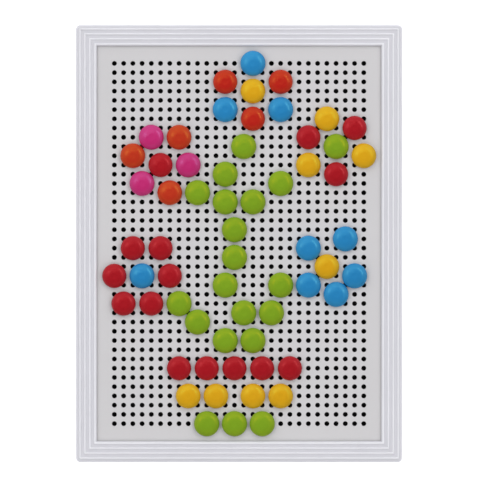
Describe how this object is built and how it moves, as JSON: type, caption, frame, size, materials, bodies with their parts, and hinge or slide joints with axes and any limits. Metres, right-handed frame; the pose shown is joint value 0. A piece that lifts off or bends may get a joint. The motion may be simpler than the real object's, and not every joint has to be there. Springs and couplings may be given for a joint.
{
  "type": "mosaic peg board",
  "caption": "Framed perforated board lying flat, with mushroom-headed nails pushed into its holes to make a picture of flowers in a pot; each nail pulls straight out.",
  "frame": {"origin": "centre of the underside, where the board rests on a table", "axes": "+X across the board, +Y up the picture, +Z out of the board's face"},
  "size_m": [0.2122, 0.2842, 0.0198],
  "materials": {
    "white_frame": "white moulded polystyrene with a soft satin gloss",
    "white_panel": "slightly greyer white moulded sheet with a satin face",
    "black_cover": "black moulded plastic with a fine matt texture",
    "green_nail": "lime green moulded plastic, satin gloss",
    "blue_nail": "mid blue moulded plastic, satin gloss",
    "yellow_nail": "golden yellow moulded plastic, satin gloss",
    "red_nail": "crimson moulded plastic, satin gloss",
    "pink_nail": "magenta pink moulded plastic, satin gloss",
    "orange_nail": "red-orange moulded plastic, satin gloss"
  },
  "bodies": {
    "board": {"frame_shell": "white_frame", "peg_panel": "white_panel", "back_cover": "black_cover"},
    "nail_blue_01": {"nail_blue_01": "blue_nail"},
    "nail_blue_02": {"nail_blue_02": "blue_nail"},
    "nail_blue_03": {"nail_blue_03": "blue_nail"},
    "nail_blue_04": {"nail_blue_04": "blue_nail"},
    "nail_blue_05": {"nail_blue_05": "blue_nail"},
    "nail_blue_06": {"nail_blue_06": "blue_nail"},
    "nail_blue_07": {"nail_blue_07": "blue_nail"},
    "nail_blue_08": {"nail_blue_08": "blue_nail"},
    "nail_blue_09": {"nail_blue_09": "blue_nail"},
    "nail_green_01": {"nail_green_01": "green_nail"},
    "nail_green_02": {"nail_green_02": "green_nail"},
    "nail_green_03": {"nail_green_03": "green_nail"},
    "nail_green_04": {"nail_green_04": "green_nail"},
    "nail_green_05": {"nail_green_05": "green_nail"},
    "nail_green_06": {"nail_green_06": "green_nail"},
    "nail_green_07": {"nail_green_07": "green_nail"},
    "nail_green_08": {"nail_green_08": "green_nail"},
    "nail_green_09": {"nail_green_09": "green_nail"},
    "nail_green_10": {"nail_green_10": "green_nail"},
    "nail_green_11": {"nail_green_11": "green_nail"},
    "nail_green_12": {"nail_green_12": "green_nail"},
    "nail_green_13": {"nail_green_13": "green_nail"},
    "nail_green_14": {"nail_green_14": "green_nail"},
    "nail_green_15": {"nail_green_15": "green_nail"},
    "nail_orange_01": {"nail_orange_01": "orange_nail"},
    "nail_orange_02": {"nail_orange_02": "orange_nail"},
    "nail_orange_03": {"nail_orange_03": "orange_nail"},
    "nail_pink_01": {"nail_pink_01": "pink_nail"},
    "nail_pink_02": {"nail_pink_02": "pink_nail"},
    "nail_pink_03": {"nail_pink_03": "pink_nail"},
    "nail_red_01": {"nail_red_01": "red_nail"},
    "nail_red_02": {"nail_red_02": "red_nail"},
    "nail_red_03": {"nail_red_03": "red_nail"},
    "nail_red_04": {"nail_red_04": "red_nail"},
    "nail_red_05": {"nail_red_05": "red_nail"},
    "nail_red_06": {"nail_red_06": "red_nail"},
    "nail_red_07": {"nail_red_07": "red_nail"},
    "nail_red_08": {"nail_red_08": "red_nail"},
    "nail_red_09": {"nail_red_09": "red_nail"},
    "nail_red_10": {"nail_red_10": "red_nail"},
    "nail_red_11": {"nail_red_11": "red_nail"},
    "nail_red_12": {"nail_red_12": "red_nail"},
    "nail_red_13": {"nail_red_13": "red_nail"},
    "nail_red_14": {"nail_red_14": "red_nail"},
    "nail_red_15": {"nail_red_15": "red_nail"},
    "nail_red_16": {"nail_red_16": "red_nail"},
    "nail_red_17": {"nail_red_17": "red_nail"},
    "nail_red_18": {"nail_red_18": "red_nail"},
    "nail_yellow_01": {"nail_yellow_01": "yellow_nail"},
    "nail_yellow_02": {"nail_yellow_02": "yellow_nail"},
    "nail_yellow_03": {"nail_yellow_03": "yellow_nail"},
    "nail_yellow_04": {"nail_yellow_04": "yellow_nail"},
    "nail_yellow_05": {"nail_yellow_05": "yellow_nail"},
    "nail_yellow_06": {"nail_yellow_06": "yellow_nail"},
    "nail_yellow_07": {"nail_yellow_07": "yellow_nail"},
    "nail_yellow_08": {"nail_yellow_08": "yellow_nail"},
    "nail_yellow_09": {"nail_yellow_09": "yellow_nail"}
  },
  "joints": [
    {"name": "nail_blue_01_pull", "type": "slide", "parent": "board", "child": "nail_blue_01", "axis": [0, 0, 1], "range_m": [0, 0.012]},
    {"name": "nail_blue_02_pull", "type": "slide", "parent": "board", "child": "nail_blue_02", "axis": [0, 0, 1], "range_m": [0, 0.012]},
    {"name": "nail_blue_03_pull", "type": "slide", "parent": "board", "child": "nail_blue_03", "axis": [0, 0, 1], "range_m": [0, 0.012]},
    {"name": "nail_blue_04_pull", "type": "slide", "parent": "board", "child": "nail_blue_04", "axis": [0, 0, 1], "range_m": [0, 0.012]},
    {"name": "nail_blue_05_pull", "type": "slide", "parent": "board", "child": "nail_blue_05", "axis": [0, 0, 1], "range_m": [0, 0.012]},
    {"name": "nail_blue_06_pull", "type": "slide", "parent": "board", "child": "nail_blue_06", "axis": [0, 0, 1], "range_m": [0, 0.012]},
    {"name": "nail_blue_07_pull", "type": "slide", "parent": "board", "child": "nail_blue_07", "axis": [0, 0, 1], "range_m": [0, 0.012]},
    {"name": "nail_blue_08_pull", "type": "slide", "parent": "board", "child": "nail_blue_08", "axis": [0, 0, 1], "range_m": [0, 0.012]},
    {"name": "nail_blue_09_pull", "type": "slide", "parent": "board", "child": "nail_blue_09", "axis": [0, 0, 1], "range_m": [0, 0.012]},
    {"name": "nail_green_01_pull", "type": "slide", "parent": "board", "child": "nail_green_01", "axis": [0, 0, 1], "range_m": [0, 0.012]},
    {"name": "nail_green_02_pull", "type": "slide", "parent": "board", "child": "nail_green_02", "axis": [0, 0, 1], "range_m": [0, 0.012]},
    {"name": "nail_green_03_pull", "type": "slide", "parent": "board", "child": "nail_green_03", "axis": [0, 0, 1], "range_m": [0, 0.012]},
    {"name": "nail_green_04_pull", "type": "slide", "parent": "board", "child": "nail_green_04", "axis": [0, 0, 1], "range_m": [0, 0.012]},
    {"name": "nail_green_05_pull", "type": "slide", "parent": "board", "child": "nail_green_05", "axis": [0, 0, 1], "range_m": [0, 0.012]},
    {"name": "nail_green_06_pull", "type": "slide", "parent": "board", "child": "nail_green_06", "axis": [0, 0, 1], "range_m": [0, 0.012]},
    {"name": "nail_green_07_pull", "type": "slide", "parent": "board", "child": "nail_green_07", "axis": [0, 0, 1], "range_m": [0, 0.012]},
    {"name": "nail_green_08_pull", "type": "slide", "parent": "board", "child": "nail_green_08", "axis": [0, 0, 1], "range_m": [0, 0.012]},
    {"name": "nail_green_09_pull", "type": "slide", "parent": "board", "child": "nail_green_09", "axis": [0, 0, 1], "range_m": [0, 0.012]},
    {"name": "nail_green_10_pull", "type": "slide", "parent": "board", "child": "nail_green_10", "axis": [0, 0, 1], "range_m": [0, 0.012]},
    {"name": "nail_green_11_pull", "type": "slide", "parent": "board", "child": "nail_green_11", "axis": [0, 0, 1], "range_m": [0, 0.012]},
    {"name": "nail_green_12_pull", "type": "slide", "parent": "board", "child": "nail_green_12", "axis": [0, 0, 1], "range_m": [0, 0.012]},
    {"name": "nail_green_13_pull", "type": "slide", "parent": "board", "child": "nail_green_13", "axis": [0, 0, 1], "range_m": [0, 0.012]},
    {"name": "nail_green_14_pull", "type": "slide", "parent": "board", "child": "nail_green_14", "axis": [0, 0, 1], "range_m": [0, 0.012]},
    {"name": "nail_green_15_pull", "type": "slide", "parent": "board", "child": "nail_green_15", "axis": [0, 0, 1], "range_m": [0, 0.012]},
    {"name": "nail_orange_01_pull", "type": "slide", "parent": "board", "child": "nail_orange_01", "axis": [0, 0, 1], "range_m": [0, 0.012]},
    {"name": "nail_orange_02_pull", "type": "slide", "parent": "board", "child": "nail_orange_02", "axis": [0, 0, 1], "range_m": [0, 0.012]},
    {"name": "nail_orange_03_pull", "type": "slide", "parent": "board", "child": "nail_orange_03", "axis": [0, 0, 1], "range_m": [0, 0.012]},
    {"name": "nail_pink_01_pull", "type": "slide", "parent": "board", "child": "nail_pink_01", "axis": [0, 0, 1], "range_m": [0, 0.012]},
    {"name": "nail_pink_02_pull", "type": "slide", "parent": "board", "child": "nail_pink_02", "axis": [0, 0, 1], "range_m": [0, 0.012]},
    {"name": "nail_pink_03_pull", "type": "slide", "parent": "board", "child": "nail_pink_03", "axis": [0, 0, 1], "range_m": [0, 0.012]},
    {"name": "nail_red_01_pull", "type": "slide", "parent": "board", "child": "nail_red_01", "axis": [0, 0, 1], "range_m": [0, 0.012]},
    {"name": "nail_red_02_pull", "type": "slide", "parent": "board", "child": "nail_red_02", "axis": [0, 0, 1], "range_m": [0, 0.012]},
    {"name": "nail_red_03_pull", "type": "slide", "parent": "board", "child": "nail_red_03", "axis": [0, 0, 1], "range_m": [0, 0.012]},
    {"name": "nail_red_04_pull", "type": "slide", "parent": "board", "child": "nail_red_04", "axis": [0, 0, 1], "range_m": [0, 0.012]},
    {"name": "nail_red_05_pull", "type": "slide", "parent": "board", "child": "nail_red_05", "axis": [0, 0, 1], "range_m": [0, 0.012]},
    {"name": "nail_red_06_pull", "type": "slide", "parent": "board", "child": "nail_red_06", "axis": [0, 0, 1], "range_m": [0, 0.012]},
    {"name": "nail_red_07_pull", "type": "slide", "parent": "board", "child": "nail_red_07", "axis": [0, 0, 1], "range_m": [0, 0.012]},
    {"name": "nail_red_08_pull", "type": "slide", "parent": "board", "child": "nail_red_08", "axis": [0, 0, 1], "range_m": [0, 0.012]},
    {"name": "nail_red_09_pull", "type": "slide", "parent": "board", "child": "nail_red_09", "axis": [0, 0, 1], "range_m": [0, 0.012]},
    {"name": "nail_red_10_pull", "type": "slide", "parent": "board", "child": "nail_red_10", "axis": [0, 0, 1], "range_m": [0, 0.012]},
    {"name": "nail_red_11_pull", "type": "slide", "parent": "board", "child": "nail_red_11", "axis": [0, 0, 1], "range_m": [0, 0.012]},
    {"name": "nail_red_12_pull", "type": "slide", "parent": "board", "child": "nail_red_12", "axis": [0, 0, 1], "range_m": [0, 0.012]},
    {"name": "nail_red_13_pull", "type": "slide", "parent": "board", "child": "nail_red_13", "axis": [0, 0, 1], "range_m": [0, 0.012]},
    {"name": "nail_red_14_pull", "type": "slide", "parent": "board", "child": "nail_red_14", "axis": [0, 0, 1], "range_m": [0, 0.012]},
    {"name": "nail_red_15_pull", "type": "slide", "parent": "board", "child": "nail_red_15", "axis": [0, 0, 1], "range_m": [0, 0.012]},
    {"name": "nail_red_16_pull", "type": "slide", "parent": "board", "child": "nail_red_16", "axis": [0, 0, 1], "range_m": [0, 0.012]},
    {"name": "nail_red_17_pull", "type": "slide", "parent": "board", "child": "nail_red_17", "axis": [0, 0, 1], "range_m": [0, 0.012]},
    {"name": "nail_red_18_pull", "type": "slide", "parent": "board", "child": "nail_red_18", "axis": [0, 0, 1], "range_m": [0, 0.012]},
    {"name": "nail_yellow_01_pull", "type": "slide", "parent": "board", "child": "nail_yellow_01", "axis": [0, 0, 1], "range_m": [0, 0.012]},
    {"name": "nail_yellow_02_pull", "type": "slide", "parent": "board", "child": "nail_yellow_02", "axis": [0, 0, 1], "range_m": [0, 0.012]},
    {"name": "nail_yellow_03_pull", "type": "slide", "parent": "board", "child": "nail_yellow_03", "axis": [0, 0, 1], "range_m": [0, 0.012]},
    {"name": "nail_yellow_04_pull", "type": "slide", "parent": "board", "child": "nail_yellow_04", "axis": [0, 0, 1], "range_m": [0, 0.012]},
    {"name": "nail_yellow_05_pull", "type": "slide", "parent": "board", "child": "nail_yellow_05", "axis": [0, 0, 1], "range_m": [0, 0.012]},
    {"name": "nail_yellow_06_pull", "type": "slide", "parent": "board", "child": "nail_yellow_06", "axis": [0, 0, 1], "range_m": [0, 0.012]},
    {"name": "nail_yellow_07_pull", "type": "slide", "parent": "board", "child": "nail_yellow_07", "axis": [0, 0, 1], "range_m": [0, 0.012]},
    {"name": "nail_yellow_08_pull", "type": "slide", "parent": "board", "child": "nail_yellow_08", "axis": [0, 0, 1], "range_m": [0, 0.012]},
    {"name": "nail_yellow_09_pull", "type": "slide", "parent": "board", "child": "nail_yellow_09", "axis": [0, 0, 1], "range_m": [0, 0.012]}
  ]
}
